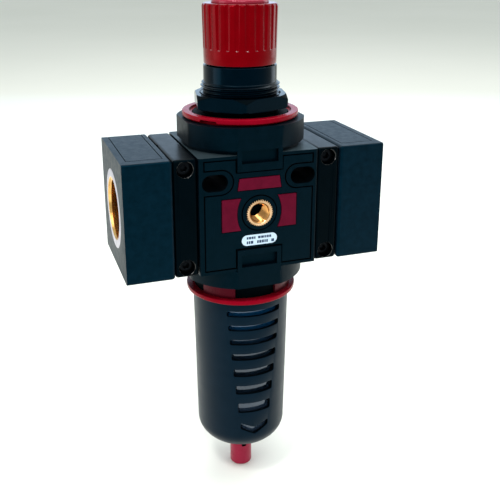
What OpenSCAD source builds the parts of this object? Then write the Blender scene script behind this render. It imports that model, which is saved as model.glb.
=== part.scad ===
// Modular filter regulator: body between two clamped pipe blocks, regulator above, filter bowl below.
// X runs along the pipe axis from inlet to outlet, the front face looks along -Y, +Z is up.
// The origin is where the pipe axis crosses the vertical axis. Millimetres.

/* [Body] */
// Width of the body between the clamps
body_w = 82; // [82:1:84]
// Depth of the body, front face to rear face
body_d = 80; // [80:1:82]
// Height of the body block
body_h = 80; // [80:1:81]
// Outer radius of the upper and lower collars
collar_r = 43.6; // [43:0.2:45]
// Height of the upper collar's rim above the pipe axis
collar_top = 57.8; // [57:0.2:58.4]
// Depth of the lower collar's rim below the pipe axis
collar_bottom = 52.7; // [52.7:0.1:54]
// Radius of the flow bores through the body
flow_r = 15; // [12:0.5:15]

/* [Mounting slots] */
// Distance between the centres of the two mounting slots
slot_spacing = 60.6; // [60:0.1:61]
// Height of the slots above the pipe axis
slot_z = 23; // [22.8:0.1:23.2]
// End-to-end length of each slot
slot_length = 17.3; // [15:0.1:17.4]
// Width of each slot, clearance for an M10 bolt
slot_width = 11.3; // [10.5:0.1:11.4]

/* [Covers] */
// Width and height of the front and rear covers
cover_size = 74; // [72:0.5:75]
// Thickness of the covers
cover_t = 1.6; // [1.2:0.1:2]
// Width of the dark joint around the covers
cover_gap = 0.9; // [0.5:0.1:1]

/* [Clamps and pipe blocks] */
// Width of each clamp, body face to pipe block
clamp_w = 16.5; // [16.5:0.5:18]
// Depth of the clamps, front to rear
clamp_d = 76.5; // [76:0.5:78]
// Width of each pipe block along the pipe
block_w = 32; // [30:1:40]
// Depth of the pipe blocks
block_d = 79; // [78:1:82]
// Height of the pipe blocks
block_h = 80; // [78:1:82]

/* [Threads] */
// Minor radius of the G 1 1/4 pipe thread
port_minor_r = 19.476; // [15:0.001:20]
// Length of the pipe thread's insert
port_insert_l = 24; // [20:1:26]
// Minor radius of the G 1/4 gauge thread
gauge_minor_r = 5.7225; // [4:0.0005:6]
// Length of the gauge thread's insert
gauge_insert_l = 14; // [10:0.5:14]
// Crest radius of the panel thread
panel_r = 26.75; // [26:0.05:27]
// Pitch of the adjusting screw's left-hand thread
screw_pitch = 2; // [1.5:0.25:2]

/* [Knob] */
// Outer radius of the knob
knob_r = 25; // [24.5:0.1:26]
// Height of the knob's lower edge above the pipe axis
knob_bottom = 93.4; // [93.2:0.1:94]
// Height of the knob's top face above the pipe axis
knob_top = 132.2; // [131.5:0.1:134]
// Number of finger flutes
flutes = 24; // [16:2:30]
// Upward travel that unlocks the knob
knob_lift = 4; // [2:0.5:4]

/* [Bowl] */
// Outer radius of the guard below its lock ring
guard_r = 34.5; // [34.2:0.1:35]
// Outer radius of the guard where its dome starts
guard_tip_r = 32.7; // [32.5:0.1:33]
// Depth of the dome's start below the pipe axis
dome_z = 176.6; // [175:0.2:180]
// Depth of the drain's tip below the pipe axis
drain_tip = 220.4; // [217:0.1:222]
// Number of wide slots in each side of the guard
guard_slots = 7; // [3:1:7]

/* [Hidden] */
$fn = 72;

plastic_dark = "#1c252b";
plastic_guard = "#39434a";
red = "#98142a";
inlay_red = "#6c1528";
brass = "#c8a05a";
steel = "#8c9196";
black_steel = "#202224";
rubber_black = "#161616";
white = "#e8ecef";
clear_blue = [0.75, 0.85, 0.92, 0.45];

gap = 0.3;
fit = 0.06;

// Faces that the outer parts share
body_x = body_w / 2;
front_y = body_d / 2;
body_z = body_h / 2;
block_x0 = body_x + clamp_w;
block_x1 = block_x0 + block_w;
joint_x = body_x + clamp_w / 2;
flat_y = front_y + 1;
tab_half = 15.5;
tab_top_z = 29.1;
tab_bottom_z = -24.8;
pocket_half = 12.5;
pocket_depth = 3;
recess_half = cover_size / 2 + cover_gap;
lip_width = slot_width + 4.4;
lip_inner_x = slot_spacing / 2 - slot_length / 2 - 3.3;
boss_r = 11.7;
boss_gap = 0.8;
gauge_hole_r = 9.3;
gauge_proud = 0.9;

// Dovetail flanges that the clamps draw together
flange_root = 26;
flange_tip = 29;
flange_z = 29;
joint_gap = 0.15;
seal_r = 18;
seal_wire = 1.5;

// Heights inside the body
shoulder_z = 2;
web_z0 = 22;
web_z1 = 26;
chamber_z = 30.5;
chamber_r = 33;
rim_z = 36;
upper_bore_r = 37;
duct_z = 10;
duct_r = 6.5;
valve_bore_r = 16;
outlet_bore_r = 14;
stem_r = 3;
ceiling_z = -41;
lower_bore_r = 39.2;
pocket_r = 35.5;
nipple_r = 18.5;
nipple_z = -49;

// Bayonets: four lugs on each ring, four on each collar
lug_width = 41;
lug_angles = [45, 135, 225, 315];
upper_sleeve_r = 35;
upper_lug_z = [49.1, 53.4];
upper_catch_z = [53.7, 56.8];
lower_sleeve_r = 35.4;
lower_lug_z = [-49.3, -46.8];
lower_catch_z = [-52.4, -49.6];

// Stack above the body
diaphragm_z = 32.6;
diaphragm_t = 1.2;
clamp_z = 37.5;
bonnet_flange_z = 48.8;
bonnet_r = 32.6;
shoulder_top = 61.2;
thread_top = 81.4;
neck_r = 24.7;
neck_top = 92.4;
wall_z = 89;
spring_bore_r = 21.3;
ring_z = [59, 62.2];
ring_r = 39.5;
nut_z = [64, 73.5];
nut_flats = 60;
nut_bore_r = panel_r - 0.6;
thread_bottom = 73.8;
screw_shank_r = 7;
screw_hex = 12;
screw_top = 122.3;
ledge_z = 118;
seat_z = [76, 80];

// Stack below the body
bowl_top = -41.3;
guard_top = -44.7;
guard_flange_z = -46.5;
ring_bottom = -67.1;
ring_top = -63.9;
neck_in = 31.3;
neck_out = 33.3;
element_z = [-104, -49];
bowl_floor = -190;
bowl_base = -193;
drain_r = 8.3;
tube_r = 5.9;

// ---------- shared shapes ----------

module rounded_square(w, h, r) {
    square([w - 2 * r, h], center = true);
    square([w, h - 2 * r], center = true);
    for (x = [-1, 1], y = [-1, 1])
        translate([x * (w / 2 - r), y * (h / 2 - r)]) circle(r);
}

module obround(length, width) {
    square([length - width, width], center = true);
    for (x = [-1, 1]) translate([x * (length - width) / 2, 0]) circle(width / 2);
}

module ring(ro, ri, z0, z1) {
    difference() {
        translate([0, 0, z0]) cylinder(r = ro, h = z1 - z0);
        translate([0, 0, z0 - 1]) cylinder(r = ri, h = z1 - z0 + 2);
    }
}

module sector(ri, ro, z0, z1, centre, width) {
    rotate([0, 0, centre - width / 2])
        rotate_extrude(angle = width) translate([ri, z0]) square([ro - ri, z1 - z0]);
}

module lugs(ri, ro, z) {
    for (a = lug_angles) sector(ri, ro, z[0], z[1], a, lug_width);
}

// Prism of a shape drawn in X and Z, from depth y0 to depth y1
module prism_y(y0, y1) {
    translate([0, y1, 0]) rotate([90, 0, 0]) linear_extrude(y1 - y0) children();
}

// Solid of revolution about the pipe axis, drawn with its radius first
module turned_x() {
    rotate([0, 90, 0]) rotate_extrude() children();
}

// Solid of revolution about the Y axis, the profile's second value is the depth towards -Y
module turned_y() {
    rotate([90, 0, 0]) rotate_extrude() children();
}

module o_ring(r, wire) {
    rotate_extrude() translate([r, 0]) circle(wire, $fn = 24);
}

// Points of the spring wire's section at one step along the coil
function wire_ring(r, wire, a, z, sides) =
    [for (j = [0:sides - 1]) let (b = 360 * j / sides)
        [(r + wire * cos(b)) * cos(a), (r + wire * cos(b)) * sin(a), z + wire * sin(b)]];

module coil_spring(r, wire, z0, z1, turns) {
    sides = 8;
    steps = turns * 18;
    rise = z1 - z0 - 2 * wire;
    points = [for (i = [0:steps])
        each wire_ring(r, wire, 360 * turns * i / steps, z0 + wire + rise * i / steps, sides)];
    walls = [for (i = [0:steps - 1], j = [0:sides - 1])
        [i * sides + j, i * sides + (j + 1) % sides, (i + 1) * sides + (j + 1) % sides, (i + 1) * sides + j]];
    first_end = [[for (j = [sides - 1:-1:0]) j]];
    last_end = [[for (j = [0:sides - 1]) steps * sides + j]];
    polyhedron(points = points, faces = concat(walls, first_end, last_end), convexity = 6);
}

// ---------- body ----------

module at_slots() {
    for (x = [-1, 1]) translate([x * slot_spacing / 2, slot_z]) children();
}

// Raised rims round the slots: rounded inwards, running into the frame outwards
module slot_lips(extra) {
    for (x = [-1, 1]) {
        translate([x * (lip_inner_x + lip_width / 2), slot_z]) circle(lip_width / 2 + extra);
        translate([x * (lip_inner_x + lip_width / 2 + recess_half) / 2, slot_z])
            square([recess_half - lip_inner_x - lip_width / 2, lip_width + 2 * extra], center = true);
    }
}

module tabs(extra) {
    half = tab_half + extra;
    translate([-half, tab_top_z - extra]) square([2 * half, body_z + 3 - tab_top_z + extra]);
    translate([-half, -body_z - 3]) square([2 * half, tab_bottom_z + body_z + 3 + extra]);
}

module collar(z0, z1) {
    intersection() {
        translate([0, 0, z0]) cylinder(r = collar_r, h = z1 - z0);
        translate([-body_x, -flat_y, z0]) cube([2 * body_x, 2 * flat_y, z1 - z0]);
    }
}

module body_solid() {
    translate([0, 0, -body_z]) linear_extrude(body_h) rounded_square(body_w, body_d, 1.5);
    collar(body_z + 3, collar_top);
    translate([0, 0, body_z - 1]) cylinder(r = collar_r - 3.2, h = 5);
    collar(-collar_bottom, -body_z);
    for (s = [-1, 1]) {
        prism_y(min(s * flat_y, s * 30), max(s * flat_y, s * 30)) tabs(0);
        side(s) dovetail(body_x - 1, joint_x - joint_gap, body_x);
    }
}

module side(s) {
    mirror([s < 0 ? 1 : 0, 0, 0]) children();
}

// Dovetail flange from x0 to x1, narrowest at its root
module dovetail(x0, x1, root) {
    translate([0, 0, -flange_z]) linear_extrude(2 * flange_z)
        polygon([[x0, -flange_root], [root, -flange_root], [x1, -flange_tip],
                 [x1, flange_tip], [root, flange_root], [x0, flange_root]]);
}

module cover_recess() {
    difference() {
        square(2 * recess_half, center = true);
        tabs(0);
        slot_lips(0);
        circle(boss_r);
    }
}

module body_passages() {
    // inlet chamber and the duct down to the bowl
    translate([-joint_x, 0, 0]) rotate([0, 90, 0]) cylinder(r = flow_r, h = joint_x - 20);
    translate([-25.5, 0, ceiling_z - 1]) cylinder(r = duct_r, h = 42);
    // outlet chamber and the duct from above the valve seat
    translate([20, 0, 0]) rotate([0, 90, 0]) cylinder(r = flow_r, h = joint_x - 20);
    translate([0, 0, duct_z]) rotate([0, 90, 0]) cylinder(r = duct_r, h = 24);
    // valve bores, stem guide and the sensing hole under the diaphragm
    translate([0, 0, nipple_z - 1]) cylinder(r = valve_bore_r, h = shoulder_z - nipple_z + 1);
    translate([0, 0, 0]) cylinder(r = outlet_bore_r, h = web_z0);
    translate([0, 0, web_z0 - 1]) cylinder(r = stem_r + fit, h = 10);
    translate([9, 0, web_z0 - 1]) cylinder(r = 1.2, h = 10);
    translate([0, 0, web_z1]) cylinder(r = 20.5, h = 10);
    translate([0, 0, chamber_z]) cylinder(r = chamber_r, h = 10);
    // gauge holes with their drillings into the outlet chamber
    for (s = [-1, 1]) {
        translate([0, s * (front_y + 1), 0]) rotate([s * 90, 0, 0])
            cylinder(r = gauge_hole_r, h = gauge_insert_l - gauge_proud + 1);
        translate([0, s * (front_y - gauge_insert_l + gauge_proud + 1), 4.2]) rotate([s * 90, 0, 0])
            cylinder(r = 1.5, h = 14.5);
    }
}

module body() {
    color(plastic_dark) {
        difference() {
            body_solid();
            for (s = [-1, 1]) {
                // recesses for the covers and the two square pockets in each tab
                prism_y(min(s * (front_y - cover_t), s * (front_y + 3)),
                        max(s * (front_y - cover_t), s * (front_y + 3)))
                    intersection() {
                        cover_recess();
                        square(2 * recess_half, center = true);
                    }
                for (z = [38.65, -32.95])
                    translate([-pocket_half, s > 0 ? flat_y - pocket_depth : -flat_y - 1, z - 4.3])
                        cube([2 * pocket_half, pocket_depth + 1, 8.6]);
                // face grooves for the joint seals
                side(s) translate([joint_x - 2 * seal_wire, 0, 0]) rotate([0, 90, 0])
                    ring(seal_r + seal_wire, seal_r - seal_wire, 0, 5);
            }
            prism_y(-50, 50) at_slots() obround(slot_length, slot_width);
            body_passages();
            // upper and lower bores
            translate([0, 0, rim_z]) cylinder(r = upper_bore_r, h = 30);
            translate([0, 0, -60]) cylinder(r = lower_bore_r, h = 60 + lower_lug_z[0] + 4.6);
            difference() {
                translate([0, 0, -60]) cylinder(r = pocket_r, h = 60 + ceiling_z);
                translate([0, 0, nipple_z]) cylinder(r = nipple_r, h = 10);
            }
        }
        lugs(upper_sleeve_r + gap, upper_bore_r + 1, upper_catch_z);
        lugs(lower_sleeve_r + gap, lower_bore_r + 1, lower_catch_z);
    }
}

// ---------- covers, inlays, gauge ports and label ----------

module inlay_top_outline() {
    polygon([[-14.2, 24.8], [14.2, 24.8], [15.5, 16], [-15.5, 16]]);
}

module inlay_side_outline() {
    difference() {
        translate([12.4, -11.5]) square([13.9, 23]);
        translate([-8.95, 0]) circle(24.25);
    }
}

module cover_outline() {
    difference() {
        square(cover_size, center = true);
        tabs(cover_gap);
        slot_lips(cover_gap);
        circle(boss_r + boss_gap);
    }
}

// A cover with shallow seats for its three inlays
module cover() {
    difference() {
        prism_y(-front_y, -front_y + cover_t) cover_outline();
        prism_y(-front_y - 1, -front_y + 0.8) {
            inlay_top_outline();
            inlay_side_outline();
            mirror([1, 0]) inlay_side_outline();
        }
    }
}

module inlay() {
    prism_y(-front_y - 0.35, -front_y + 0.8) children();
}

module front_cover() { color(plastic_dark) cover(); }
module rear_cover() { color(plastic_dark) rotate([0, 0, 180]) cover(); }
module front_inlay_top() { color(inlay_red) inlay() inlay_top_outline(); }
module front_inlay_left() { color(inlay_red) inlay() mirror([1, 0]) inlay_side_outline(); }
module front_inlay_right() { color(inlay_red) inlay() inlay_side_outline(); }

module rear_inlays() {
    color(inlay_red) rotate([0, 0, 180]) {
        inlay() inlay_top_outline();
        inlay() inlay_side_outline();
        inlay() mirror([1, 0]) inlay_side_outline();
    }
}

// Brass insert with a chamfered mouth, its threaded bore drawn at the minor diameter
module gauge_insert() {
    y1 = front_y + gauge_proud;
    turned_y() polygon([
        [gauge_minor_r, y1 - gauge_insert_l], [gauge_hole_r, y1 - gauge_insert_l],
        [gauge_hole_r, y1 - 0.3], [gauge_hole_r - 0.3, y1], [gauge_minor_r + 1.4, y1],
        [gauge_minor_r, y1 - 1.4]]);
}

module front_gauge_insert() { color(brass) gauge_insert(); }
module rear_gauge_insert() { color(brass) rotate([0, 0, 180]) gauge_insert(); }

module rear_gauge_plug() {
    y1 = front_y + gauge_proud;
    color(black_steel) rotate([0, 0, 180]) difference() {
        turned_y() polygon([[0, y1 - 9], [gauge_minor_r, y1 - 9], [gauge_minor_r, y1], [8.4, y1],
                            [8.4, y1 + 1.6], [7.8, y1 + 2.2], [0, y1 + 2.2]]);
        translate([0, -y1 + 3, 0]) rotate([90, 30, 0]) cylinder(r = 6 / sqrt(3), h = 8, $fn = 6);
    }
}

module rating_label() {
    color(white) prism_y(-front_y - 0.25, -front_y) translate([0, -18.6]) obround(24.8, 7.4);
}

// ---------- pipe blocks, clamps and their fasteners ----------

// Shallow line round a panel on the block's top or bottom, open towards the rear
module panel_line(w) {
    inner = 4.2;
    line = 0.6;
    difference() {
        translate([inner, -block_d / 2 + 8.2]) square([w - 2 * inner, block_d]);
        translate([inner + line, -block_d / 2 + 8.2 + line]) square([w - 2 * inner - 2 * line, block_d]);
    }
}

module pipe_block() {
    difference() {
        union() {
            translate([block_x0, 0, 0]) rotate([90, 0, 90]) linear_extrude(block_w)
                rounded_square(block_d, block_h, 1.5);
            translate([2 * joint_x, 0, 0]) mirror([1, 0, 0])
                dovetail(body_x - 1, joint_x - joint_gap, body_x);
        }
        translate([joint_x - 1, 0, 0]) rotate([0, 90, 0]) cylinder(r = flow_r, h = block_w + clamp_w);
        translate([block_x1 - port_insert_l, 0, 0]) rotate([0, 90, 0])
            cylinder(r = 25, h = port_insert_l + 1);
        translate([block_x1 - 1.5, 0, 0]) rotate([0, 90, 0]) cylinder(r = 26.9, h = 3);
        for (z = [block_h / 2 - 0.5, -block_h / 2 - 0.5])
            translate([block_x0, 0, z]) linear_extrude(1) panel_line(block_w);
    }
}

module inlet_block() { color(plastic_dark) mirror([1, 0, 0]) pipe_block(); }
module outlet_block() { color(plastic_dark) pipe_block(); }

module port_insert() {
    turned_x() polygon([
        [port_minor_r, block_x1 - port_insert_l], [25, block_x1 - port_insert_l], [25, block_x1 - 1.5],
        [26.9, block_x1 - 1.5], [26.9, block_x1], [port_minor_r + 1.8, block_x1],
        [port_minor_r, block_x1 - 1.8]]);
}

module inlet_insert() { color(brass) mirror([1, 0, 0]) port_insert(); }
module outlet_insert() { color(brass) port_insert(); }

module joint_seal() {
    translate([joint_x - seal_wire, 0, 0]) rotate([0, 90, 0]) o_ring(seal_r, seal_wire);
}

module inlet_seal() { color(rubber_black) mirror([1, 0, 0]) joint_seal(); }
module outlet_seal() { color(rubber_black) joint_seal(); }

seam_y = 6;
screw_z = 33.3;
head_r = 5;
head_l = 4;
head_y = -clamp_d / 2 + 4;
bolt_nut_y = 30;
bolt_nut_l = 5;
bolt_nut_flats = 10;
block_half_z = 39.9;

// Space inside a clamp: the two dovetail flanges back to back, with clearance
module clamp_cavity() {
    x0 = body_x - 1;
    x1 = block_x0 + 1;
    half0 = flange_root + gap;
    half1 = flange_tip + gap;
    translate([0, 0, -flange_z - gap]) linear_extrude(2 * (flange_z + gap))
        polygon([[x0, -half0], [body_x, -half0], [joint_x, -half1], [block_x0, -half0], [x1, -half0],
                 [x1, half0], [block_x0, half0], [joint_x, half1], [body_x, half0], [x0, half0]]);
}

module at_screws() {
    for (z = [-1, 1]) translate([joint_x, 0, z * screw_z]) rotate([-90, 0, 0]) children();
}

module clamp_half(y0, y1) {
    difference() {
        intersection() {
            translate([body_x + gap, 0, 0]) rotate([90, 0, 90]) linear_extrude(clamp_w - 2 * gap)
                rounded_square(clamp_d, 2 * block_half_z, 1.8);
            translate([body_x, y0, -50]) cube([clamp_w, y1 - y0, 100]);
        }
        clamp_cavity();
        at_screws() {
            translate([0, 0, -50]) cylinder(r = 3.2, h = 100);
            translate([0, 0, -50]) cylinder(r = head_r + 0.3, h = 50 + head_y + head_l);
            translate([0, 0, bolt_nut_y]) cylinder(r = bolt_nut_flats / sqrt(3), h = 20, $fn = 6);
        }
    }
}

module left_clamp_front() { color(plastic_dark) mirror([1, 0, 0]) clamp_half(-50, seam_y); }
module left_clamp_rear() { color(plastic_dark) mirror([1, 0, 0]) clamp_half(seam_y, 50); }
module right_clamp_front() { color(plastic_dark) clamp_half(-50, seam_y); }
module right_clamp_rear() { color(plastic_dark) clamp_half(seam_y, 50); }

module clamp_screws() {
    color(black_steel) for (s = [-1, 1]) side(s) at_screws() difference() {
        union() {
            translate([0, 0, head_y]) cylinder(r = head_r, h = head_l);
            translate([0, 0, head_y + 1]) cylinder(r = 3, h = bolt_nut_y + bolt_nut_l - head_y - 1);
        }
        translate([0, 0, head_y - 1]) cylinder(r = 4 / sqrt(3), h = 3.5, $fn = 6);
    }
}

module clamp_nuts() {
    color(steel) for (s = [-1, 1]) side(s) at_screws() difference() {
        translate([0, 0, bolt_nut_y]) cylinder(r = bolt_nut_flats / sqrt(3), h = bolt_nut_l, $fn = 6);
        translate([0, 0, bolt_nut_y - 1]) cylinder(r = 3, h = bolt_nut_l + 2);
    }
}

// ---------- regulator above the body ----------

module upper_lock_ring() {
    color(red) difference() {
        union() {
            rotate_extrude() polygon([
                [bonnet_r + gap, upper_lug_z[0]], [upper_sleeve_r, upper_lug_z[0]],
                [upper_sleeve_r, ring_z[0]], [ring_r - 0.5, ring_z[0]], [ring_r, ring_z[0] + 0.5],
                [ring_r, ring_z[1] - 0.6], [ring_r - 0.6, ring_z[1]], [34.7, ring_z[1]],
                [34.7, ring_z[1] - 1.7], [bonnet_r + gap, ring_z[1] - 1.7]]);
            lugs(upper_sleeve_r - 0.5, upper_bore_r - gap, upper_lug_z);
        }
        // index notch under the rim, front left
        sector(upper_sleeve_r + 1.5, ring_r + 1, ring_z[0] - 1, ring_z[0] + 1.6, -140, 18);
    }
}

module bonnet() {
    color(plastic_dark) difference() {
        rotate_extrude() polygon([
            [chamber_r, clamp_z], [upper_bore_r - gap, clamp_z], [upper_bore_r - gap, bonnet_flange_z],
            [bonnet_r, bonnet_flange_z], [bonnet_r, shoulder_top - 1], [bonnet_r - 1, shoulder_top],
            [nut_bore_r, shoulder_top], [nut_bore_r, thread_bottom], [panel_r, thread_bottom],
            [panel_r, thread_top - 1.5], [panel_r - 1.5, thread_top],
            [neck_r, thread_top], [neck_r, neck_top - 0.5], [neck_r - 0.5, neck_top], [20.5, neck_top],
            [20.5, 110], [15, 110], [15, neck_top], [screw_shank_r + 0.08, neck_top],
            [screw_shank_r + 0.08, wall_z], [spring_bore_r, wall_z], [spring_bore_r, 56], [30, 48], [30, 41],
            [chamber_r, 41]]);
        // keyways that stop the spring seat turning, and the relief vent at the rear
        for (s = [0, 180]) rotate([0, 0, s]) translate([spring_bore_r - 2, -2.5, 57])
            cube([3.2, 5, wall_z - 57]);
        translate([0, 10, 86]) rotate([-90, 0, 0]) cylinder(r = 1.5, h = 20);
    }
}

module panel_nut() {
    corner_r = nut_flats / sqrt(3);
    color(plastic_dark) difference() {
        intersection() {
            translate([0, 0, nut_z[0]]) rotate([0, 0, -102])
                cylinder(r = corner_r, h = nut_z[1] - nut_z[0], $fn = 6);
            rotate_extrude() polygon([
                [0, nut_z[0]], [29, nut_z[0]], [29, nut_z[0] + 1], [corner_r - 0.6, nut_z[0] + 1],
                [corner_r + 1, nut_z[0] + 2], [corner_r + 1, nut_z[1] - 3], [31.4, nut_z[1]],
                [0, nut_z[1]]]);
        }
        translate([0, 0, nut_z[0] - 1]) cylinder(r = nut_bore_r, h = 20);
    }
}

knob_foot_r = knob_r - 0.7;
flute_r = 2.3;
flute_depth = 1;
flute_z = 104.2;
hub_r = 11;
hub_z = 100;
retainer_r = 9;
counterbore_r = 9.5;
plug_z = 127.5;
cap_r = 19;
cap_top = 137;

module knob() {
    color(red) difference() {
        rotate_extrude() polygon([
            [22, knob_bottom], [knob_foot_r - 0.4, knob_bottom], [knob_foot_r, knob_bottom + 0.4],
            [knob_r, knob_top - 2], [knob_r - 0.6, knob_top - 0.6], [knob_r - 2, knob_top],
            [counterbore_r, knob_top], [counterbore_r, ledge_z], [0, ledge_z], [0, hub_z],
            [hub_r, hub_z], [hub_r, knob_top - 4], [22, knob_top - 4]]);
        translate([0, 0, hub_z - 1]) cylinder(r = (screw_hex + 0.2) / sqrt(3), h = 30, $fn = 6);
        for (i = [0:flutes - 1]) rotate([0, 0, 360 * (i + 0.5) / flutes - 90])
            translate([knob_r + flute_r - flute_depth, 0, flute_z]) {
                cylinder(r = flute_r, h = 30, $fn = 24);
                sphere(r = flute_r, $fn = 24);
            }
    }
}

module knob_cap() {
    color(red) rotate_extrude() polygon([
        [0, plug_z], [counterbore_r, plug_z], [counterbore_r, knob_top], [cap_r, knob_top],
        [cap_r, knob_top + 1.8], [cap_r - 0.8, knob_top + 2.9], [cap_r - 4, cap_top - 0.9],
        [cap_r - 9, cap_top - 0.2], [0, cap_top]]);
}

module knob_retainer() {
    color(steel) difference() {
        union() {
            translate([0, 0, screw_top]) cylinder(r = retainer_r, h = 1.5);
            translate([0, 0, screw_top + 1.5]) cylinder(r = 4.3, h = 3);
            translate([0, 0, screw_top - 12]) cylinder(r = 2.5, h = 13);
        }
        translate([0, 0, screw_top + 2.5]) cylinder(r = 4 / sqrt(3), h = 5, $fn = 6);
    }
}

module adjusting_screw() {
    color(steel) difference() {
        union() {
            translate([0, 0, 60]) cylinder(r = 5, h = 26);
            translate([0, 0, 84.5]) cylinder(r = 10, h = 2.95);
            translate([0, 0, 84.5]) cylinder(r = screw_shank_r, h = 11);
            translate([0, 0, 95]) cylinder(r = screw_hex / sqrt(3), h = screw_top - 95, $fn = 6);
        }
        translate([0, 0, screw_top - 12]) cylinder(r = 2.5, h = 20);
    }
}

module thrust_washer() { color(steel) ring(10.5, screw_shank_r + 0.1, 87.5, wall_z); }

module spring_seat() {
    color(steel) difference() {
        union() {
            translate([0, 0, seat_z[0]]) cylinder(r = spring_bore_r - 0.5, h = seat_z[1] - seat_z[0]);
            translate([0, 0, seat_z[0] - 6]) cylinder(r = 9, h = 13);
            translate([-22.1, -2.2, seat_z[0]]) cube([44.2, 4.4, seat_z[1] - seat_z[0]]);
        }
        translate([0, 0, seat_z[0] - 10]) cylinder(r = 5 + fit, h = 30);
    }
}

module range_spring() {
    color(steel) coil_spring(16.5, 1.9, diaphragm_z + diaphragm_t + 2.6, seat_z[0], 6);
}

module diaphragm_plate() {
    z0 = diaphragm_z + diaphragm_t;
    color(steel) rotate_extrude() polygon([
        [4, z0], [26, z0], [26, z0 + 2.6], [21, z0 + 2.6], [21, z0 + 4.6], [19.5, z0 + 4.6],
        [19.5, z0 + 2.6], [4, z0 + 2.6]]);
}

// Rubber disc with one convolution between its clamped rim and its moving centre
module diaphragm() {
    z1 = diaphragm_z + diaphragm_t;
    color(rubber_black) rotate_extrude() polygon([
        [4, diaphragm_z], [29.6, diaphragm_z], [chamber_r, rim_z], [upper_bore_r - gap, rim_z],
        [upper_bore_r - gap, clamp_z], [chamber_r - 0.6, clamp_z], [28.9, z1], [4, z1]]);
}

module diaphragm_hub() {
    color(brass) difference() {
        union() {
            translate([0, 0, diaphragm_z - 3]) cylinder(r = 18.5, h = 3);
            translate([0, 0, diaphragm_z - 1]) cylinder(r = 4, h = 7);
        }
        translate([0, 0, diaphragm_z - 5]) cylinder(r = 1.2, h = 20);
    }
}

// ---------- valve ----------

module valve_seat() { color(brass) ring(valve_bore_r, 9, -shoulder_z, shoulder_z); }

poppet_z = [-9, -4.3];
tail_r = 6;
tail_z = -29;
guide_z = [-34, -29];

module valve_stem() {
    color(steel) translate([0, 0, poppet_z[0]]) cylinder(r = stem_r, h = diaphragm_z - 3.05 - poppet_z[0]);
}

module valve_poppet() {
    color(brass) difference() {
        union() {
            translate([0, 0, poppet_z[0]]) cylinder(r = 12.5, h = poppet_z[1] - poppet_z[0]);
            translate([0, 0, tail_z]) cylinder(r = tail_r, h = poppet_z[0] - tail_z + 1);
        }
        translate([0, 0, poppet_z[0]]) cylinder(r = stem_r, h = 10);
        ring(tail_r + 1, tail_r - 1.6, -26.8, -25.2);
    }
}

module poppet_seal() { color(rubber_black) ring(12, stem_r, poppet_z[1], -shoulder_z - gap); }
module valve_spring() { color(steel) coil_spring(9.8, 0.6, guide_z[1], poppet_z[0], 6); }
module guide_seal() { color(rubber_black) translate([0, 0, -26]) o_ring(tail_r - 0.8, 0.8); }

module valve_guide() {
    color(brass) difference() {
        union() {
            translate([0, 0, guide_z[0]]) cylinder(r = valve_bore_r, h = guide_z[1] - guide_z[0]);
            translate([0, 0, -40]) cylinder(r = 8.5, h = 18);
        }
        translate([0, 0, -33]) cylinder(r = tail_r + fit, h = 20);
        translate([0, 0, -41]) cylinder(r = 3, h = 6);
        for (i = [0:7]) rotate([0, 0, 45 * i]) translate([13, 0, -36]) cylinder(r = 2.2, h = 10);
    }
}

// ---------- filter and bowl ----------

module air_deflector() {
    color(white) difference() {
        union() {
            ring(27.5, nipple_r, nipple_z, nipple_z + 3);
            ring(nipple_r + 2.5, nipple_r, nipple_z, nipple_z + 6);
        }
        for (i = [0:11]) rotate([0, 0, 30 * i]) translate([24.4, 0, nipple_z + 1.5]) rotate([35, 0, 0])
            cube([4, 2.2, 12], center = true);
    }
}

module filter_element() { color(white) ring(21, 15, element_z[0], element_z[1]); }

module element_retainer() {
    color(plastic_dark) {
        translate([0, 0, element_z[0]]) cylinder(r = 3, h = -35 - element_z[0]);
        rotate_extrude() polygon([
            [0, element_z[0]], [22, element_z[0]], [26, element_z[0] - 5], [26, element_z[0] - 8],
            [24.2, element_z[0] - 8], [24.2, element_z[0] - 5.6], [20.5, element_z[0] - 2.5],
            [0, element_z[0] - 2.5]]);
    }
}

module bowl_seal() { color(rubber_black) translate([0, 0, ceiling_z - 1.3]) o_ring(31.8, 1.3); }

// Points of a dome's quarter ellipse, from its rim down to radius r_end
function dome(rx, rz, z, r_end, steps = 14) =
    [for (i = [0:steps]) let (a = acos(r_end / rx) * i / steps) [rx * cos(a), z - rz * sin(a)]];

module bowl() {
    z_dome = -172;
    steps = 14;
    inside = dome(27.6, z_dome - bowl_floor, z_dome, 10, steps);
    color(clear_blue) difference() {
        rotate_extrude() polygon(concat(
            [[28.6, bowl_top], [35.2, bowl_top], [35.2, guard_top], [31, guard_top], [31, -67]],
            dome(29.8, z_dome - bowl_base, z_dome, 10, steps),
            [[tube_r, bowl_base], [tube_r, bowl_floor], [10, bowl_floor]],
            [for (i = [steps:-1:0]) inside[i]],
            [[28.6, -67]]));
        ring(31.8 + 1.3, 31.8 - 1.3, ceiling_z - 2.6, ceiling_z + 1);
    }
}

// Wide slots get taller and narrower towards the dome
function slot_h(i) = 4.2 + 0.9 * max(0, i - 2);
function slot_top(i) = i == 0 ? -74.2 : slot_top(i - 1) - slot_h(i - 1) - 6.6 - 0.2 * i;
function slot_half_angle(i) = 34.6 - 1.3 * i - 0.14 * i * i;

module guard_cuts() {
    for (i = [0:guard_slots - 1])
        sector(20, 40, slot_top(i) - slot_h(i), slot_top(i), -90, 2 * slot_half_angle(i));
    // chevron under the slots
    prism_y(-40, -15) polygon([[-10.6, -165.4], [0, -169.6], [10.6, -165.4], [10.6, -170], [0, -175.4],
                               [-10.6, -170]]);
}

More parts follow.
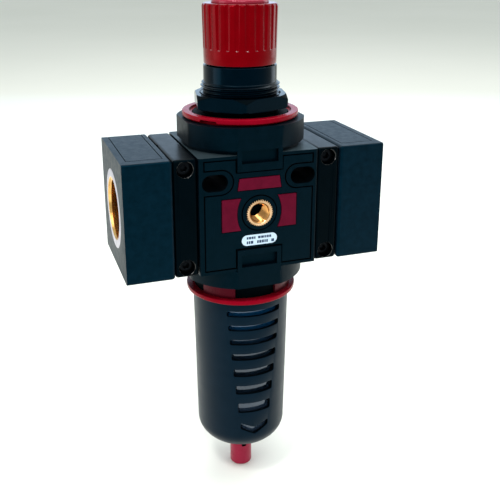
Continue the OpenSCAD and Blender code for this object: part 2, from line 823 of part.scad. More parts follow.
module bowl_guard() {
    wall = 2.2;
    steps = 14;
    rz = 19.7;
    inner_dome = dome(guard_tip_r - wall, rz - wall, -dome_z, 8.9, steps);
    color(plastic_guard) difference() {
        rotate_extrude() polygon(concat(
            [[neck_in, guard_top], [35.2, guard_top], [35.2, guard_flange_z], [neck_out, guard_flange_z],
             [neck_out, ring_bottom - gap], [guard_r, ring_bottom - gap], [guard_r, -75]],
            dome(guard_tip_r, rz, -dome_z, 8.9, steps),
            [for (i = [steps:-1:0]) inner_dome[i]],
            [[guard_r - wall, -75], [neck_in, -72]]));
        guard_cuts();
        rotate([0, 0, 180]) guard_cuts();
    }
}

module lower_lock_ring() {
    inner = neck_out + gap;
    color(red) {
        rotate_extrude() polygon([
            [inner, ring_bottom], [ring_r - 1.1, ring_bottom], [ring_r - 0.3, ring_bottom + 0.8],
            [ring_r - 0.3, ring_top - 0.5], [ring_r - 0.8, ring_top], [inner, ring_top]]);
        lugs(inner, lower_sleeve_r, [ring_top - 1, lower_lug_z[1]]);
        lugs(lower_sleeve_r - 0.5, lower_bore_r - gap, lower_lug_z);
    }
}

module drain_body() {
    color(plastic_dark) rotate_extrude() polygon([
        [2.5, -212], [tube_r, -212], [tube_r, -188], [9.5, -188], [9.5, -185], [2.5, -185]]);
}

module drain_seal() { color(rubber_black) translate([0, 0, bowl_floor + 1]) o_ring(7.6, 1); }

module drain_nut() {
    color(steel) difference() {
        translate([0, 0, -196.2]) cylinder(r = 14 / sqrt(3), h = bowl_base + 196.2, $fn = 6);
        translate([0, 0, -200]) cylinder(r = tube_r, h = 10);
    }
}

module drain_knob() {
    top = -196.9;
    color(red) difference() {
        rotate_extrude() polygon([
            [2.5, -drain_tip], [drain_r - 0.9, -drain_tip], [drain_r - 0.25, -drain_tip + 0.35],
            [drain_r, -drain_tip + 1.1], [drain_r, top], [tube_r + fit, top], [tube_r + fit, -212.4],
            [2.5, -212.4]]);
        translate([-1.9, -10, top - 6.7]) cube([3.8, 10, 8]);
    }
}

body();
front_cover();
rear_cover();
front_inlay_top();
front_inlay_left();
front_inlay_right();
rear_inlays();
front_gauge_insert();
rear_gauge_insert();
rear_gauge_plug();
rating_label();
inlet_block();
outlet_block();
inlet_insert();
outlet_insert();
inlet_seal();
outlet_seal();
left_clamp_front();
left_clamp_rear();
right_clamp_front();
right_clamp_rear();
clamp_screws();
clamp_nuts();
upper_lock_ring();
bonnet();
panel_nut();
knob();
knob_cap();
knob_retainer();
adjusting_screw();
thrust_washer();
spring_seat();
range_spring();
diaphragm_plate();
diaphragm();
diaphragm_hub();
valve_seat();
valve_stem();
valve_poppet();
poppet_seal();
valve_spring();
valve_guide();
guide_seal();
air_deflector();
filter_element();
element_retainer();
bowl_seal();
bowl();
bowl_guard();
lower_lock_ring();
drain_body();
drain_seal();
drain_nut();
drain_knob();
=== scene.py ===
import math

import bmesh
import bpy
from mathutils import Matrix, Vector


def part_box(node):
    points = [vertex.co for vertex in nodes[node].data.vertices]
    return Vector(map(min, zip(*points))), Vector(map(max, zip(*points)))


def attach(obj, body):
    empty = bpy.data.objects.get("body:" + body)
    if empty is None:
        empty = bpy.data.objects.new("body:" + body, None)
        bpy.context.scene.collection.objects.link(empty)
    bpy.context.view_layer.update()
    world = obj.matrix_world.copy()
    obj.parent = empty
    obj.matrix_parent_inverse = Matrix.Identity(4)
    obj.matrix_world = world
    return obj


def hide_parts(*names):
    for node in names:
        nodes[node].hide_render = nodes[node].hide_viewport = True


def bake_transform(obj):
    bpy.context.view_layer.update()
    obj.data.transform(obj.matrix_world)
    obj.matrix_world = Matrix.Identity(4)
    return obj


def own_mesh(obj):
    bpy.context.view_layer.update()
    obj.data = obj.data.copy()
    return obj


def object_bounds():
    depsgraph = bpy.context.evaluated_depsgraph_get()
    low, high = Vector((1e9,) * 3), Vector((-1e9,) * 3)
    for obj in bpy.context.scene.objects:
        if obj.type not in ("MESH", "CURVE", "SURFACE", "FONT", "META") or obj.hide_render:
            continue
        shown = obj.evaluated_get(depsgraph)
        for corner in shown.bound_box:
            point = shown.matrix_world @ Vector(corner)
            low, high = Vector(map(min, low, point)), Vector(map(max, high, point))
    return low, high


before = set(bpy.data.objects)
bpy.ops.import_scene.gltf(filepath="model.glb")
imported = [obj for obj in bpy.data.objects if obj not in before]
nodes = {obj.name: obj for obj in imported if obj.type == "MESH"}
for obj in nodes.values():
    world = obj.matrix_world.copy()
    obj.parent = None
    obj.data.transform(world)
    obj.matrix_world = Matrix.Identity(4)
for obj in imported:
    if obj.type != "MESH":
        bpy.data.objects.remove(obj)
cad_box = [list(map(float, corner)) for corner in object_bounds()]

MM = 0.001
TAU = 2 * math.pi


# ---------------------------------------------------------------- camera, floor and light

scene = bpy.context.scene
scene.view_settings.view_transform = "Standard"
scene.view_settings.look = "None"

CAMERA_TARGET = Vector((0.0036, 0.0, 0.0))
TO_CAMERA = Vector((-0.3078, -0.9005, 0.3074)).normalized()
CAMERA_DISTANCE = 0.5268

camera = bpy.data.objects.new("camera", bpy.data.cameras.new("camera"))
scene.collection.objects.link(camera)
scene.camera = camera
camera.data.sensor_width = 36
camera.data.lens = 53.56
camera.data.shift_x = 0.0098
camera.data.shift_y = -0.111
camera.data.clip_start = 0.01
camera.data.clip_end = 50
camera.location = CAMERA_TARGET + TO_CAMERA * CAMERA_DISTANCE
camera.rotation_mode = "QUATERNION"
camera.rotation_quaternion = (-TO_CAMERA).to_track_quat("-Z", "Y")


def softbox(name, place, aim, width, height, power, colour):
    """An area light at place, facing aim."""
    data = bpy.data.lights.new(name, "AREA")
    data.shape = "RECTANGLE"
    data.size = width
    data.size_y = height
    data.energy = power
    data.color = colour
    lamp = bpy.data.objects.new(name, data)
    scene.collection.objects.link(lamp)
    lamp.location = place
    lamp.rotation_mode = "QUATERNION"
    lamp.rotation_quaternion = (Vector(aim) - Vector(place)).to_track_quat("-Z", "Y")
    lamp.visible_camera = False


softbox("overhead", (0.5, 0.50, 1.75), (0.44, 0.38, -0.22), 2.1, 2.1, 29, (1.0, 0.995, 0.965))
softbox("front_low", (-0.1, -0.75, 0.75), (0.0, -0.08, -0.22), 0.5, 0.5, 4.5, (0.99, 0.99, 1.0))
softbox("left", (-1.3, 0.1, 0.35), (0, 0, 0), 0.7, 1.1, 5, (1.0, 0.99, 0.97))
softbox("right", (1.3, 0.4, 0.4), (0, 0, 0), 0.6, 1.1, 3.5, (0.90, 0.95, 1.0))
softbox("upper_left", (-0.53, -0.50, 1.14), (0, 0, 0), 0.20, 0.20, 7.0, (1.0, 0.99, 0.97))
softbox("back_low", (0.46, 1.43, 0.42), (0, 0, 0.05), 1.7, 0.62, 3.6, (0.36, 0.64, 1.0))

world = bpy.data.worlds.new("studio")
scene.world = world
world.use_nodes = True
background = world.node_tree.nodes["Background"]
background.inputs["Color"].default_value = (0.93, 1.0, 0.985, 1)
background.inputs["Strength"].default_value = 0.66

FLOOR_Z = cad_box[0][2] - 0.0004


# ---------------------------------------------------------------- materials

class Look:
    """One procedural material, built a node at a time. Lengths are in millimetres on the object."""

    def __init__(self, name, colour, rough=0.5, metal=0.0, level=0.5, tint=(1, 1, 1)):
        self.material = bpy.data.materials.new(name)
        self.material.use_nodes = True
        self.tree = self.material.node_tree
        self.tree.nodes.clear()
        output = self.add("ShaderNodeOutputMaterial")
        self.shader = self.add("ShaderNodeBsdfPrincipled")
        self.tree.links.new(self.shader.outputs[0], output.inputs["Surface"])
        self.set("Base Color", (*colour, 1))
        self.set("Roughness", rough)
        self.set("Metallic", metal)
        self.set("Specular IOR Level", level)
        self.set("Specular Tint", (*tint, 1))
        self.place = self.add("ShaderNodeTexCoord").outputs["Object"]
        self.height = None

    def add(self, kind, **settings):
        node = self.tree.nodes.new(kind)
        for key, value in settings.items():
            setattr(node, key, value)
        return node

    def set(self, socket, value):
        self.shader.inputs[socket].default_value = value

    def join(self, source, node, socket):
        self.tree.links.new(source, node.inputs[socket])

    def stretched(self, x, y, z):
        """The place on the object, scaled along each axis."""
        mapping = self.add("ShaderNodeMapping")
        mapping.inputs["Scale"].default_value = (x, y, z)
        self.join(self.place, mapping, "Vector")
        return mapping.outputs[0]

    def noise(self, size, detail, rough=0.55, place=None, twist=0.0):
        node = self.add("ShaderNodeTexNoise")
        node.inputs["Scale"].default_value = 1 / (size * MM)
        node.inputs["Detail"].default_value = detail
        node.inputs["Roughness"].default_value = rough
        node.inputs["Distortion"].default_value = twist
        self.join(place or self.place, node, "Vector")
        return node.outputs["Fac"]

    def cells(self, size):
        node = self.add("ShaderNodeTexVoronoi")
        node.inputs["Scale"].default_value = 1 / (size * MM)
        self.join(self.place, node, "Vector")
        return node.outputs["Distance"]

    def spread(self, source, low, high, to_low=0.0, to_high=1.0):
        node = self.add("ShaderNodeMapRange")
        for socket, value in (("From Min", low), ("From Max", high), ("To Min", to_low), ("To Max", to_high)):
            node.inputs[socket].default_value = value
        self.join(source, node, "Value")
        return node.outputs["Result"]

    def mix(self, factor, first, second):
        node = self.add("ShaderNodeMix", data_type="RGBA")
        self.join(factor, node, 0)
        for index, colour in ((6, first), (7, second)):
            if isinstance(colour, tuple):
                node.inputs[index].default_value = (*colour, 1)
            else:
                self.tree.links.new(colour, node.inputs[index])
        return node.outputs[2]

    def sum(self, first, second, share=1.0):
        node = self.add("ShaderNodeMath", operation="MULTIPLY_ADD")
        self.join(second, node, 0)
        node.inputs[1].default_value = share
        self.join(first, node, 2)
        return node.outputs[0]

    def colour(self, source):
        self.tree.links.new(source, self.shader.inputs["Base Color"])

    def roughness(self, source):
        self.tree.links.new(source, self.shader.inputs["Roughness"])

    def bump(self, source, depth, strength=1.0):
        """Raises the surface by source times depth millimetres."""
        node = self.add("ShaderNodeBump")
        node.inputs["Strength"].default_value = strength
        node.inputs["Distance"].default_value = depth * MM
        self.join(source, node, "Height")
        if self.height is not None:
            self.join(self.height, node, "Normal")
        self.height = node.outputs[0]
        self.tree.links.new(self.height, self.shader.inputs["Normal"])


def grained(name, dark, light, rough, level, grain, depth, mottle, scuff=0.0, tint=(1, 1, 1)):
    """Moulded or powder-coated surface: fine grain, slow mottling and a few soft rubbed patches."""
    look = Look(name, dark, rough[0], 0.0, level, tint)
    slow = look.noise(mottle, 5, 0.6)
    fine = look.noise(grain, 2, 0.6)
    tone = look.mix(look.spread(slow, 0.32, 0.70), dark, light)
    if scuff:
        rubbed = look.noise(5.5, 8, 0.72, look.stretched(1, 0.4, 1.6), 1.5)
        tone = look.mix(look.spread(rubbed, 0.62, 0.80, 0.0, scuff), tone, tuple(4 * c + 0.01 for c in light))
    speck = look.mix(look.spread(fine, 0.35, 0.72, 0.0, 0.5), tone, light)
    look.colour(speck)
    both = look.sum(slow, fine, 0.6)
    look.roughness(look.spread(both, 0.55, 1.05, rough[0], rough[1]))
    look.bump(fine, depth)
    return look.material


def machined(name, colour, dark, rough, axis, pitch=0.35):
    """Turned metal: fine rings across axis, slow tarnish, a few spots."""
    look = Look(name, colour, rough[0], 1.0)
    scale = {"x": (1, 0.02, 0.02), "y": (0.02, 1, 0.02), "z": (0.02, 0.02, 1), "none": (1, 1, 1)}[axis]
    lines = look.noise(pitch, 2, 0.6, look.stretched(*scale))
    slow = look.noise(6, 5, 0.6)
    look.colour(look.mix(look.spread(slow, 0.35, 0.75), colour, dark))
    look.roughness(look.spread(look.sum(slow, lines, 0.5), 0.5, 1.0, rough[0], rough[1]))
    look.bump(lines, 0.01)
    return look.material


def rubber(name):
    look = Look(name, (0.012, 0.012, 0.013), 0.7, 0.0, 0.35)
    fine = look.noise(0.5, 3)
    slow = look.spread(look.noise(8, 4), 0.35, 0.7)
    look.colour(look.mix(slow, (0.010, 0.010, 0.011), (0.022, 0.022, 0.024)))
    look.roughness(look.spread(fine, 0.3, 0.7, 0.6, 0.85))
    look.bump(fine, 0.02)
    return look.material


def clear(name):
    """Smoky polycarbonate with fine flow marks, bluer near its top and paler at its bottom."""
    look = Look(name, (0.03, 0.07, 0.12), 0.06, 0.0, 1.0, (0.74, 0.84, 1.0))
    look.set("Transmission Weight", 0.45)
    look.set("IOR", 1.6)
    flow = look.noise(14, 3, 0.5, look.stretched(1, 1, 0.25))
    body = look.mix(look.spread(flow, 0.3, 0.7), (0.005, 0.012, 0.024), (0.014, 0.030, 0.052))
    split = look.add("ShaderNodeSeparateXYZ")
    look.join(look.place, split, "Vector")
    height = split.outputs["Z"]
    body = look.mix(look.spread(height, -0.104, -0.086), body, (0.004, 0.072, 0.190))
    look.colour(look.mix(look.spread(height, -0.165, -0.140, 1.0, 0.0), body, (0.034, 0.060, 0.105)))
    look.roughness(look.spread(look.noise(3, 4), 0.35, 0.75, 0.03, 0.10))
    look.bump(flow, 0.05)
    return look.material


def porous(name):
    look = Look(name, (0.55, 0.56, 0.55), 0.85, 0.0, 0.3)
    grains = look.cells(1.1)
    look.colour(look.mix(look.spread(grains, 0.1, 0.75), (0.20, 0.22, 0.25), (0.08, 0.09, 0.11)))
    look.roughness(look.spread(look.noise(2, 3), 0.3, 0.7, 0.7, 0.95))
    look.bump(grains, 0.15, 0.6)
    return look.material


def floor_paint():
    look = Look("floor_paint", (0.9, 0.92, 0.87), 0.8, 0.0, 0.2)
    slow = look.noise(900, 3)
    look.colour(look.mix(look.spread(slow, 0.3, 0.7), (0.87, 0.88, 0.825), (0.90, 0.907, 0.855)))
    look.bump(look.noise(12, 2), 0.02, 0.3)
    return look.material


TEAL = (0.02, 0.40, 0.66)
CRIMSON = (1.0, 0.02, 0.06)

PAINT = {
    "body": grained("body_enamel", (0.0001, 0.0007, 0.0015), (0.0005, 0.0024, 0.0050), (0.36, 0.50), 0.15,
                    0.45, 0.018, 5, 0.03, TEAL),
    "block": grained("block_enamel", (0.0003, 0.0008, 0.0022), (0.0008, 0.0060, 0.0125), (0.36, 0.50), 0.18,
                     0.42, 0.020, 5, 0.02, (0.0, 0.45, 0.80)),
    "clamp": grained("clamp_enamel", (0.0001, 0.0003, 0.0006), (0.0002, 0.0009, 0.0018), (0.28, 0.38), 0.13,
                     0.8, 0.005, 9, 0.04, (0.02, 0.17, 0.26)),
    "cover": grained("cover_plastic", (0.0001, 0.0007, 0.0016), (0.0003, 0.0026, 0.0054), (0.40, 0.54), 0.16,
                     0.38, 0.018, 5, 0.02, TEAL),
    # Painted shade: near-black for the walls and floors of grooves, joints, slots, pockets and notches, and
    # for faces that should look shaded
    "shadow": grained("painted_shade_black", (0.0004, 0.0006, 0.0008), (0.0009, 0.0014, 0.0018), (0.55, 0.70), 0.05,
                      0.4, 0.010, 8, 0.0, TEAL),
    # Painted shade: a darker paint for the pockets in the body's tabs
    "pocket": grained("pocket_painted_shade", (0.0001, 0.0006, 0.0014), (0.0004, 0.0018, 0.0040), (0.36, 0.50), 0.16,
                      0.45, 0.012, 8, 0.0, TEAL),
    # Painted sheen: a lighter copy of the body's enamel for its top round the upper collar
    "shoulder": grained("shoulder_painted_sheen", (0.016, 0.026, 0.031), (0.028, 0.041, 0.048), (0.36, 0.50), 0.15,
                        0.45, 0.018, 5, 0.0, TEAL),
    "black": grained("black_plastic", (0.0001, 0.0005, 0.0012), (0.0003, 0.0015, 0.0034), (0.14, 0.24), 0.22,
                     0.5, 0.006, 9, 0.02, (0.01, 0.30, 0.56)),
    "guard": grained("guard_plastic", (0.0008, 0.0040, 0.0092), (0.0018, 0.0066, 0.0138), (0.30, 0.42), 0.16,
                     0.4, 0.012, 13, 0.04, (0.14, 0.42, 0.66)),
    "red": grained("red_plastic", (0.108, 0.0001, 0.0012), (0.148, 0.0002, 0.0021), (0.12, 0.22), 0.27,
                   0.6, 0.004, 16, 0.0, CRIMSON),
    "ring": grained("ring_plastic", (0.182, 0.0006, 0.0070), (0.222, 0.0014, 0.0100), (0.20, 0.32), 0.14,
                    0.6, 0.004, 16, 0.0, (1.0, 0.03, 0.10)),
    # Painted shade: a darker copy of the rings' red for the lower ring's recessed walls
    "ring_wall_shade": grained("ring_wall_shade", (0.030, 0.0006, 0.0030), (0.050, 0.0012, 0.0050), (0.24, 0.36), 0.30,
                         0.6, 0.004, 16, 0.0, (1.0, 0.10, 0.20)),
    "red_gloss": grained("red_gloss", (0.100, 0.0010, 0.0040), (0.140, 0.0020, 0.0060), (0.14, 0.20), 0.70,
                         0.6, 0.002, 16),
    "polished": grained("polished_black", (0.0006, 0.0008, 0.0010), (0.0020, 0.0024, 0.0028), (0.27, 0.33),
                        0.65, 0.6, 0.002, 16),
    # Painted highlight: a lighter, pinker copy of the knob's red for its top cap
    "cap": grained("cap_plastic", (0.230, 0.0100, 0.0260), (0.280, 0.0170, 0.0380), (0.10, 0.18), 0.60,
                   0.6, 0.004, 16, 0.0, (1.0, 0.4, 0.5)),
    "drain": grained("drain_plastic", (0.270, 0.0080, 0.0330), (0.320, 0.0130, 0.0440), (0.24, 0.36), 0.42,
                     0.6, 0.006, 12, 0.0, (1.0, 0.3, 0.4)),
    "inlay": grained("inlay_crimson", (0.062, 0.0012, 0.0095), (0.092, 0.0024, 0.0145), (0.50, 0.64), 0.18,
                     0.5, 0.015, 6, 0.06, (1.0, 0.15, 0.35)),
    "brass": machined("brass_turned", (0.88, 0.56, 0.20), (0.50, 0.24, 0.06), (0.12, 0.24), "x"),
    "brass_y": machined("brass_knurled", (0.72, 0.47, 0.29), (0.52, 0.31, 0.16), (0.16, 0.30), "y"),
    "flange": machined("nickelled_flange", (0.56, 0.53, 0.60), (0.44, 0.41, 0.48), (0.30, 0.46), "none", 0.6),
    # Painted shade: a darker brass for the threaded bores of the gauge inserts
    "bore": machined("brass_bore", (0.72, 0.36, 0.12), (0.34, 0.14, 0.04), (0.10, 0.20), "y", 0.5),
    "brass_z": machined("brass_inside", (0.80, 0.58, 0.28), (0.55, 0.36, 0.15), (0.26, 0.42), "z"),
    "steel": machined("plated_steel", (0.60, 0.61, 0.63), (0.42, 0.42, 0.44), (0.24, 0.40), "z"),
    "spring": machined("spring_steel", (0.45, 0.46, 0.48), (0.26, 0.26, 0.28), (0.22, 0.38), "none", 0.5),
    "black_steel": grained("black_steel", (0.0008, 0.0010, 0.0014), (0.0016, 0.0020, 0.0026), (0.22, 0.34),
                           0.24, 0.5, 0.004, 5, 0.0, (0.16, 0.20, 0.26)),
    "rubber": rubber("nitrile_rubber"),
    "white": grained("white_plastic", (0.46, 0.60, 0.74), (0.56, 0.70, 0.84), (0.34, 0.46), 0.4,
                     0.8, 0.004, 9),
    "print": grained("grey_print", (0.010, 0.026, 0.070), (0.025, 0.050, 0.110), (0.5, 0.6), 0.2,
                     0.4, 0.002, 5),
    "element": porous("sintered_element"),
    "clear": clear("clear_polycarbonate"),
}


# ---------------------------------------------------------------- mesh tools

def shade(mesh, angle):
    """Smooth shading, except at edges sharper than angle."""
    mesh.shade_smooth()
    mesh.set_sharp_from_angle(angle=math.radians(angle))


def linked(name, mesh):
    piece = bpy.data.objects.new(name, mesh)
    scene.collection.objects.link(piece)
    return piece


def mesh_object(name, points, faces, angle=32, merge=True):
    """A mesh object in metres from points in millimetres, smooth except at edges sharper than angle."""
    mesh = bpy.data.meshes.new(name)
    mesh.from_pydata([Vector(p) * MM for p in points], [], faces)
    if merge:
        work = bmesh.new()
        work.from_mesh(mesh)
        bmesh.ops.remove_doubles(work, verts=work.verts, dist=2e-7)
        bmesh.ops.dissolve_degenerate(work, edges=work.edges, dist=1e-8)
        bmesh.ops.recalc_face_normals(work, faces=work.faces)
        work.to_mesh(mesh)
        work.free()
    shade(mesh, angle)
    return linked(name, mesh)


class Shape:
    """Points and faces gathered from several skins."""

    def __init__(self):
        self.points = []
        self.faces = []

    def skin(self, loops, around=True, through=None, skip=None):
        """Joins loops of points, one to the next, with quads. skip(loop, step) leaves a quad out."""
        start = len(self.points)
        count = len(loops[0])
        for loop in loops:
            self.points.extend(through @ Vector(p) if through else Vector(p) for p in loop)
        for i in range(len(loops) - 1):
            for j in range(count if around else count - 1):
                if skip and skip(i, j):
                    continue
                k = (j + 1) % count
                a, b = start + i * count, start + (i + 1) * count
                self.faces.append((a + j, a + k, b + k, b + j))
        return self

    def cap(self, loop, through=None):
        start = len(self.points)
        self.points.extend(through @ Vector(p) if through else Vector(p) for p in loop)
        self.faces.append(tuple(range(start, start + len(loop))))
        return self

    def object(self, name, angle=32):
        return mesh_object(name, self.points, self.faces, angle)


def circle(r, z, count, turn=0.0):
    angles = [TAU * i / count + turn for i in range(count)]
    return [(r * math.cos(a), r * math.sin(a), z) for a in angles]


def wavy(count, z, radius):
    """A level loop round Z. radius(step, angle) gives each point's distance from the axis."""
    points = []
    for i in range(count):
        a = TAU * i / count
        r = radius(i, a)
        points.append((r * math.cos(a), r * math.sin(a), z))
    return points


def rounded(profile, radius, closed=True, steps=3):
    """The profile with its corners rounded. A point (r, z, radius) states its own corner radius."""
    out = []
    count = len(profile)
    for i, point in enumerate(profile):
        here = Vector(point[:2])
        size = point[2] if len(point) > 2 else radius
        if not closed and i in (0, count - 1) or size <= 0:
            out.append(tuple(here))
            continue
        before = Vector(profile[i - 1][:2]) - here
        after = Vector(profile[(i + 1) % count][:2]) - here
        if before.length < 1e-9 or after.length < 1e-9:
            out.append(tuple(here))
            continue
        half = before.angle(after) / 2
        if half > math.radians(87):
            out.append(tuple(here))
            continue
        reach = min(size / math.tan(half), before.length * 0.48, after.length * 0.48)
        first = here + before.normalized() * reach
        last = here + after.normalized() * reach
        for k in range(steps + 1):
            t = k / steps
            out.append(tuple(first * (1 - t) ** 2 + here * 2 * t * (1 - t) + last * t ** 2))
    return out


def turned(name, profile, radius, count, closed=True):
    """A solid of revolution about Z from a profile of (radius, height) points."""
    line = rounded(profile, radius, closed)
    loops = [circle(max(r, 0.0), z, count) for r, z in line]
    if closed:
        loops.append(loops[0])
    return Shape().skin(loops).object(name)


def thread(root, height, pitch, z0, z1, count, fade=0.8):
    """Loops of a thread: root radius, signed crest height, run out at both ends."""
    form = ((0.0, 0.0), (0.10, 0.0), (0.22, 0.33), (0.34, 0.67), (0.46, 1.0), (0.56, 1.0), (0.68, 0.67),
            (0.80, 0.33), (0.92, 0.0))
    rows = int((z1 - z0) / pitch + 3) * len(form)
    loops = []
    for j in range(rows):
        turns, step = divmod(j, len(form))
        loop = []
        for i in range(count + 1):
            z = z0 + pitch * (turns - 1 + form[step][0] + i / count)
            z = min(max(z, z0), z1)
            near = min(1.0, (z - z0) / (fade * pitch), (z1 - z) / (fade * pitch))
            r = root + height * min(form[step][1], max(near, 0.0))
            loop.append((r * math.cos(TAU * i / count), r * math.sin(TAU * i / count), z))
        loops.append(loop)
    return loops


def coil(name, r, wire, z0, z1, turns):
    """A compression spring with closed, ground ends."""
    shape = Shape()
    loops = []
    sides, per_turn = 12, 40
    dead = 0.85
    total = int(turns * per_turn)
    low, high = z0 + wire, z1 - wire
    for i in range(total + 1):
        t = i / per_turn
        free = turns - 2 * dead
        rise = min(max(t - dead, 0.0), free) / free
        rise = rise * rise * (3 - 2 * rise) * 0.25 + rise * 0.75
        squeeze = 2 * wire * 0.82
        z = low + squeeze * (min(t, dead) / dead + max(t - turns + dead, 0) / dead) \
            + (high - low - 2 * squeeze) * rise
        a = TAU * t
        loop = []
        for j in range(sides):
            b = TAU * j / sides
            height = min(max(z + wire * math.sin(b), z0 + 0.02), z1 - 0.02)
            out = r + wire * math.cos(b)
            loop.append((out * math.cos(a), out * math.sin(a), height))
        loops.append(loop)
    shape.skin(loops)
    shape.cap(list(reversed(loops[0])))
    shape.cap(loops[-1])
    return shape.object(name)


def round_ends(work, ends, size, half_y, half_z, corner):
    """Rounds the outline of a box-like piece towards each end at X = ends, with radius size. The outline is
    a rectangle of half_y by half_z whose corners have the radius corner."""
    turns = [math.radians(15 * k) for k in range(1, 7)]
    for end in ends:
        inward = math.copysign(1, sum(ends) / len(ends) - end) if len(ends) > 1 else math.copysign(1, end)
        for turn in turns:
            x = end + inward * size * (1 - math.cos(turn))
            bmesh.ops.bisect_plane(work, geom=work.verts[:] + work.edges[:] + work.faces[:], dist=1e-7,
                                   plane_co=(x * MM, 0, 0), plane_no=(1, 0, 0))
        for vert in work.verts:
            x, y, z = vert.co / MM
            away = (x - end) * inward
            if away < -0.01 or away > size:
                continue
            over_y, over_z = abs(y) - (half_y - corner), abs(z) - (half_z - corner)
            cut = size - math.sqrt(max(size ** 2 - (size - max(away, 0.0)) ** 2, 0.0))
            if over_y > -0.001 and over_z > -0.001 and abs(math.hypot(over_y, over_z) - corner) < 0.03:
                keep_r = max(corner - cut, 0.0) / corner
                shift = max(cut - corner, 0.0)
                y = math.copysign(half_y - corner - shift + over_y * keep_r, y)
                z = math.copysign(half_z - corner - shift + over_z * keep_r, z)
            elif abs(over_y - corner) < 0.02 and over_z < 0.001:
                y = math.copysign(half_y - cut, y)
            elif abs(over_z - corner) < 0.02 and over_y < 0.001:
                z = math.copysign(half_z - cut, z)
            vert.co = Vector((x, y, z)) * MM


def bake(piece):
    """Replaces a piece's mesh by what its modifiers make of it."""
    graph = bpy.context.evaluated_depsgraph_get()
    baked = bpy.data.meshes.new_from_object(piece.evaluated_get(graph))
    piece.modifiers.clear()
    piece.data = baked
    piece.data.name = piece.name


def round_edges(piece, width, segments, sharp):
    """Rounds a piece's edges that are sharper than the angle sharp."""
    bevel = piece.modifiers.new("edges", "BEVEL")
    bevel.width = width * MM
    bevel.segments = segments
    bevel.limit_method = "ANGLE"
    bevel.angle_limit = math.radians(sharp)
    bake(piece)
    shade(piece.data, 35)


def softened(name, node, width, segments=3, first=None, ends=None):
    """A copy of a CAD node's shape with its edges rounded. first = (test, width, segments) rounds the edges
    whose middle passes the test with a wider radius before the others, ends holds round_ends' arguments."""
    sharp = 28
    work = bmesh.new()
    work.from_mesh(nodes[node].data)
    bmesh.ops.remove_doubles(work, verts=work.verts, dist=1e-6)
    bmesh.ops.dissolve_limit(work, angle_limit=math.radians(0.4), verts=work.verts, edges=work.edges)

    def sharp_edges(test):
        found = []
        for edge in work.edges:
            if len(edge.link_faces) != 2 or edge.calc_face_angle(0) < math.radians(sharp):
                continue
            middle = (edge.verts[0].co + edge.verts[1].co) / 2 / MM
            if test(middle, edge):
                found.append(edge)
        return found

    if first:
        bmesh.ops.bevel(work, geom=sharp_edges(first[0]), offset=first[1] * MM, offset_type="OFFSET",
                        segments=first[2], profile=0.5, affect="EDGES", clamp_overlap=True)
    if ends:
        round_ends(work, *ends)
    mesh = bpy.data.meshes.new(name)
    work.to_mesh(mesh)
    work.free()
    piece = linked(name, mesh)
    round_edges(piece, width, segments, sharp)
    return flat_faces_even(piece)


def flat_faces_even(piece):
    """Weights a piece's normals by face area, so that a flat face beside a rounded edge is shaded evenly."""
    even = piece.modifiers.new("even", "WEIGHTED_NORMAL")
    even.mode = "FACE_AREA"
    even.weight = 50
    even.keep_sharp = True
    bake(piece)
    return piece


def finish_piece(piece, paint, body, slot, *stands_for):
    """Paints a piece, lets it ride on a body and stand for CAD nodes."""
    piece.data.materials.clear()
    piece.data.materials.append(PAINT[paint])
    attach(piece, body)
    if stands_for:
        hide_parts(*stands_for)
    return piece


def repaint(piece, paint, test):
    """Gives the faces that pass a test another paint. The test gets the middle, in mm, and the normal."""
    piece.data.materials.append(PAINT[paint])
    slot = len(piece.data.materials) - 1
    for face in piece.data.polygons:
        x, y, z = (value / MM for value in face.center)
        if test(x, y, z, face.normal):
            face.material_index = slot


def keep(paint, *names):
    """Gives CAD nodes a material."""
    for name in names:
        data = nodes[name].data
        data.materials.clear()
        data.materials.append(PAINT[paint])


ALONG_X = Matrix.Rotation(math.radians(90), 4, "Y")
AGAINST_X = Matrix.Rotation(math.radians(-90), 4, "Y")
TO_FRONT = Matrix.Rotation(math.radians(90), 4, "X")
TO_REAR = Matrix.Rotation(math.radians(-90), 4, "X")


# ---------------------------------------------------------------- body, covers and inlays

def in_slot_or_joint(x, y, z, _normal):
    """The walls of the mounting slots and of the joint round the covers, which get painted shade."""
    in_slot = abs(abs(x) - 30.3) < 8.9 and abs(z - 23) < 5.9 and abs(y) < 39.4
    in_joint = max(abs(x), abs(z)) < 38.1 and 38.2 < abs(y) < 39.5
    return in_slot or in_joint


def in_pocket(x, y, z, _normal):
    """The square pockets in the tabs above and below the covers, which get painted shade."""
    return abs(x) < 12.7 and min(abs(z - 38.65), abs(z + 32.95)) < 4.5 and 37.8 < abs(y) < 40.6


def on_shoulder(x, y, z, normal):
    """The body's top, round its upper collar, which gets a painted sheen."""
    return 39 < z < 41 and normal.z > 0.5 and not in_pocket(x, y, z, normal)


# The joint round each cover and the walls of its inlay pockets, which get painted shade
def in_cover_joint(_x, y, _z, _normal):
    return 38.3 < abs(y) < 39.75


body_shell = finish_piece(softened("body_shell", "body", 0.35), "body", "housing", "body_enamel", "body")
repaint(body_shell, "shadow", in_slot_or_joint)
repaint(body_shell, "pocket", in_pocket)
repaint(body_shell, "shoulder", on_shoulder)
for side in ("front", "rear"):
    plate = softened(side + "_cover_plate", side + "_cover", 0.22, 2)
    finish_piece(plate, "cover", "housing", "cover_plastic", side + "_cover")
    repaint(plate, "shadow", in_cover_joint)


